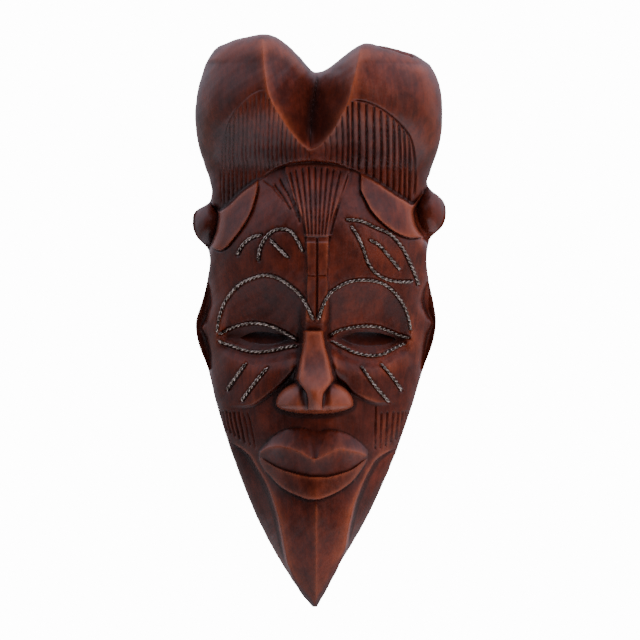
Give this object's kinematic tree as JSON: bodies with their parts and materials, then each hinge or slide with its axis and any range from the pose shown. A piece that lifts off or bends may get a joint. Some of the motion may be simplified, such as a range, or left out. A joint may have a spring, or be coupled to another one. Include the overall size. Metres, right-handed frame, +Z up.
{
  "type": "carved wall mask",
  "caption": "Tall wooden wall mask with a two-lobed crest, slit eyes, a pointed beard and twisted-wire inlays, hung by a folding ring set into its back.",
  "frame": {"origin": "the point where a wall nail carries the hanger ring once it is raised, behind the crest", "axes": "+Z up along the face, -Y out of the face towards the viewer, +Y towards the wall, +X to the right of a viewer who faces the mask"},
  "size_m": [0.1579, 0.0859, 0.3561],
  "materials": {
    "wood": "dark red-brown stain, rubbed with wax to a soft satin",
    "wire": "dull grey twisted steel wire, bright on its crests",
    "hanger": "zinc-plated sheet and wire",
    "screw": "zinc-plated steel"
  },
  "bodies": {
    "mask": {"mask_body": "wood", "brow_wire_left": "wire", "brow_wire_right": "wire", "eye_wire_left_upper": "wire", "eye_wire_left_lower": "wire", "eye_wire_right_upper": "wire", "eye_wire_right_lower": "wire", "cheek_wire_left_outer": "wire", "cheek_wire_left_inner": "wire", "cheek_wire_right_inner": "wire", "cheek_wire_right_outer": "wire", "leaf_wire_upper": "wire", "leaf_wire_lower": "wire", "leaf_wire_middle": "wire", "branch_wire_outer": "wire", "branch_wire_long": "wire", "branch_wire_short": "wire", "hanger_strap": "hanger", "hanger_screw_upper": "screw", "hanger_screw_lower": "screw"},
    "ring": {"hanger_ring": "hanger"}
  },
  "joints": [
    {"name": "ring_swing", "type": "hinge", "parent": "mask", "child": "ring", "pos_m": [0, 0, -0.009], "axis": [1, 0, 0], "range_deg": [0, 180]}
  ]
}
